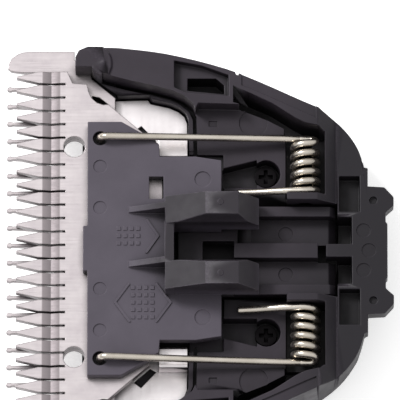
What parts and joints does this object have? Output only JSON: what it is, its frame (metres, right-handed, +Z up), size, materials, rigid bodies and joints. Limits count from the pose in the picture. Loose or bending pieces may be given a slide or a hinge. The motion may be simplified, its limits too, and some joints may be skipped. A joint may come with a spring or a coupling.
{
  "type": "clipper blade cassette",
  "caption": "Detachable clipper cutter head: steel comb, sliding toothed cutter on a forked carrier, torsion springs and a cleaning lever in a plastic housing.",
  "frame": {"origin": "centre of the bounding box in plan, at the outer cover's rest face", "axes": "+X from the comb teeth to the mounting hooks, +Y across the blades, +Z up from the outer cover to the inner side with the drive fork"},
  "size_m": [0.0434, 0.0472, 0.0128],
  "materials": {
    "black_plastic": "charcoal moulded plastic, satin",
    "grey_plastic": "mid-grey moulded acetal, satin",
    "blade_steel": "ground and lapped blade steel",
    "plate_steel": "pressed stainless sheet",
    "spring_steel": "drawn spring wire, warm tint",
    "fastener_steel": "plated steel"
  },
  "bodies": {
    "frame": {"housing": "black_plastic", "outer_cover": "black_plastic", "fixed_blade": "blade_steel", "base_plate": "plate_steel", "lever_pin": "fastener_steel", "cover_screw_left": "fastener_steel", "cover_screw_right": "fastener_steel", "base_screw_left": "fastener_steel", "base_screw_right": "fastener_steel", "spring_post_left": "fastener_steel", "spring_post_right": "fastener_steel", "blade_rivet_left_1": "fastener_steel", "blade_rivet_left_2": "fastener_steel", "blade_rivet_right_1": "fastener_steel", "blade_rivet_right_2": "fastener_steel"},
    "lever": {"cleaning_lever": "black_plastic"},
    "cutter": {"moving_blade": "blade_steel", "blade_carrier": "grey_plastic", "carrier_pin_left": "fastener_steel", "carrier_pin_right": "fastener_steel"},
    "coil_left": {"spring_coil_left": "spring_steel"},
    "coil_right": {"spring_coil_right": "spring_steel"},
    "arm_left": {"spring_arm_left": "spring_steel"},
    "arm_right": {"spring_arm_right": "spring_steel"}
  },
  "joints": [
    {"name": "lever_hinge", "type": "hinge", "parent": "frame", "child": "lever", "pos_m": [0.005, 0, 0.0044], "axis": [0, 1, 0], "range_deg": [0, 6], "stiffness_Nm_per_rad": 0.1, "springref_deg": -17.19},
    {"name": "cutter_slide", "type": "slide", "parent": "lever", "child": "cutter", "axis": [0, 1, 0], "range_m": [-0.001, 0.001]},
    {"name": "coil_left_wind", "type": "hinge", "parent": "frame", "child": "coil_left", "pos_m": [0.0118, 0.0095, 0.0066], "axis": [0, 1, 0], "range_deg": [0, 4.4]},
    {"name": "coil_right_wind", "type": "hinge", "parent": "frame", "child": "coil_right", "pos_m": [0.0118, -0.0095, 0.0066], "axis": [0, 1, 0], "range_deg": [0, 4.4]},
    {"name": "arm_left_swing", "type": "hinge", "parent": "coil_left", "child": "arm_left", "pos_m": [0.0112, 0.01298, 0.0069], "axis": [0, 0, -1], "range_deg": [-2.6, 2.6]},
    {"name": "arm_right_swing", "type": "hinge", "parent": "coil_right", "child": "arm_right", "pos_m": [0.0112, -0.01298, 0.0069], "axis": [0, 0, -1], "range_deg": [-2.6, 2.6]}
  ],
  "couplings": [
    {"joint": "coil_left_wind", "follows": "lever_hinge", "ratio": 0.704},
    {"joint": "coil_right_wind", "follows": "lever_hinge", "ratio": 0.704},
    {"joint": "arm_left_swing", "follows": "cutter_slide", "rad_per_m": 44.64},
    {"joint": "arm_right_swing", "follows": "cutter_slide", "rad_per_m": 44.64}
  ]
}
